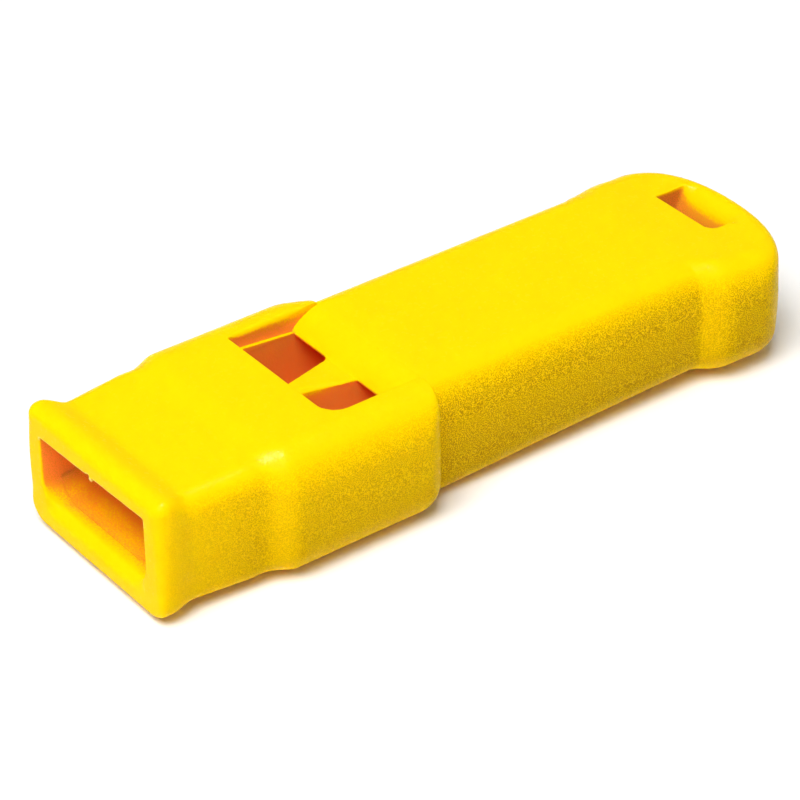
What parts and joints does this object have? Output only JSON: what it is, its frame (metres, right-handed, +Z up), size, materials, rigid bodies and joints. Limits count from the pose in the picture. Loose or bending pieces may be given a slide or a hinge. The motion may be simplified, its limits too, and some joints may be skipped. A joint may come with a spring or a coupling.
{
  "type": "safety whistle",
  "caption": "Flat yellow pealess safety whistle with a lipped rectangular mouth, a thicker collar with two sound windows side by side, a closed resonator body and a lanyard slot in its flared rear end.",
  "frame": {"origin": "middle of the outline in plan, on the surface the whistle lies on", "axes": "+X from the mouth towards the lanyard eye, +Y towards the window with square corners, +Z up through the windows"},
  "size_m": [0.06, 0.0204, 0.0105],
  "materials": {
    "head_plastic": "moulded satin",
    "body_plastic": "moulded satin",
    "block_plastic": "moulded satin"
  },
  "bodies": {
    "root": {"head_shell": "head_plastic", "resonator_body": "body_plastic", "windway_block": "block_plastic"}
  },
  "joints": []
}
